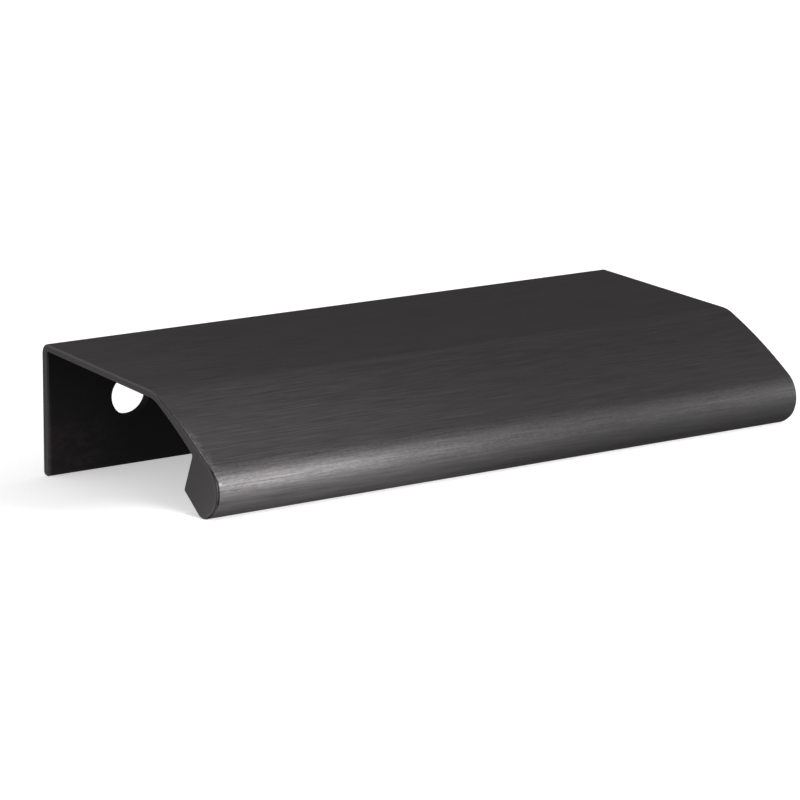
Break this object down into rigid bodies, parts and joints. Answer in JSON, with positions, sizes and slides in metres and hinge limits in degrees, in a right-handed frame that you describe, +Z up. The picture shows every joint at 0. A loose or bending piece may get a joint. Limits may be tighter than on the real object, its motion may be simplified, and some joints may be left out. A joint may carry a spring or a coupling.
{
  "type": "edge pull",
  "caption": "One-piece extruded edge pull: an upright screw flange, a thin flat plate over the door's edge and a falling front that ends in a thick rounded lip.",
  "frame": {"origin": "centre of the bounding box, on the floor that the pull stands on", "axes": "+X along the stock's length, +Y to the back, where the flange is, and +Z up. The pull stands unheld on its flange's toe and its lip's chin, so its plate falls 6.5 degrees to the front"},
  "size_m": [0.08, 0.0406, 0.0158],
  "materials": {
    "anodised_stock": "anthracite anodised, brushed along the length"
  },
  "bodies": {
    "root": {"edge_pull": "anodised_stock"}
  },
  "joints": []
}
